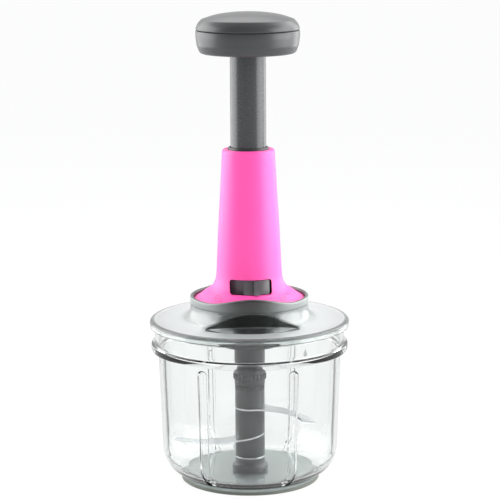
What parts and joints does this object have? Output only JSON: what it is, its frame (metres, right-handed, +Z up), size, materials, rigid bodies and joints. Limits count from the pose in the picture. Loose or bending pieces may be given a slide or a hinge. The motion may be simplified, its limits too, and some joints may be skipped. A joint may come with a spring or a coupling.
{
  "type": "plunger food chopper",
  "caption": "Hand chopper: clear ribbed bowl with a blade column, clear lid with a finger scoop, trumpet-shaped tower and a sprung plunger that spins the blades",
  "frame": {"origin": "centre of the underside of the pad under the bowl, on the axis of the plunger", "axes": "+Z up along the axis of the plunger, -Y towards the front, where the lock window is"},
  "size_m": [0.1328, 0.1328, 0.312],
  "materials": {
    "clear_bowl": "clear moulded plastic, polished",
    "smoke_lid": "smoke-grey clear moulded plastic, polished",
    "pad": "soft matt rubber",
    "pink_shell": "satin moulded plastic",
    "grey_plastic": "satin moulded plastic",
    "column_plastic": "satin moulded plastic",
    "dark_plastic": "satin moulded plastic",
    "pale_acetal": "natural acetal",
    "blade_steel": "stamped and ground",
    "drive_steel": "turned or drawn steel",
    "spring_steel": "drawn spring wire"
  },
  "bodies": {
    "bowl": {"bowl": "clear_bowl", "base_pad": "pad", "pivot_pin": "drive_steel"},
    "blades": {"column_foot": "column_plastic", "lower_blade": "blade_steel", "lower_spacer": "column_plastic", "middle_blade": "blade_steel", "middle_spacer": "column_plastic", "upper_blade": "blade_steel", "column_top": "column_plastic"},
    "lid": {"lid": "smoke_lid", "tower": "pink_shell", "guide_bush": "dark_plastic", "spring_seat": "pale_acetal", "return_spring": "spring_steel", "hub_housing": "dark_plastic", "hub_cover": "dark_plastic", "spindle_bearing": "pale_acetal", "thrust_washer": "drive_steel", "tower_screw_1": "drive_steel", "tower_screw_2": "drive_steel", "tower_screw_3": "drive_steel", "tower_screw_4": "drive_steel", "hub_screw_1": "drive_steel", "hub_screw_2": "drive_steel", "hub_screw_3": "drive_steel"},
    "plunger": {"plunger_tube": "grey_plastic", "knob_body": "grey_plastic", "knob_cap": "grey_plastic", "drive_nut": "pale_acetal", "knob_screw_1": "drive_steel", "knob_screw_2": "drive_steel", "knob_screw_3": "drive_steel"},
    "lock": {"lock_ring": "dark_plastic", "lock_slider": "dark_plastic"},
    "spindle": {"spindle": "drive_steel", "ratchet_driver": "pale_acetal", "ratchet_spring": "spring_steel", "drive_sleeve": "dark_plastic"}
  },
  "joints": [
    {"name": "lid_lift", "type": "slide", "parent": "bowl", "child": "lid", "axis": [0, 0, 1], "range_m": [0, 0.1]},
    {"name": "plunger_press", "type": "slide", "parent": "lid", "child": "plunger", "axis": [0, 0, -1], "range_m": [0, 0.056], "stiffness_N_per_m": 300, "springref_m": -0.0167, "deforming": ["return_spring"]},
    {"name": "lock_turn", "type": "hinge", "parent": "lid", "child": "lock", "pos_m": [0, 0, 0.13], "axis": [0, 0, -1], "range_deg": [0, 18]},
    {"name": "spindle_turn", "type": "hinge", "parent": "lid", "child": "spindle", "pos_m": [0, 0, 0.112], "axis": [0, 0, 1], "range_deg": [0, 481]},
    {"name": "blades_turn", "type": "hinge", "parent": "bowl", "child": "blades", "pos_m": [0, 0, 0.01], "axis": [0, 0, 1], "range_deg": [0, 481]}
  ],
  "couplings": [
    {"joint": "spindle_turn", "follows": "plunger_press", "rad_per_m": 149.6},
    {"joint": "blades_turn", "follows": "plunger_press", "rad_per_m": 149.6}
  ]
}
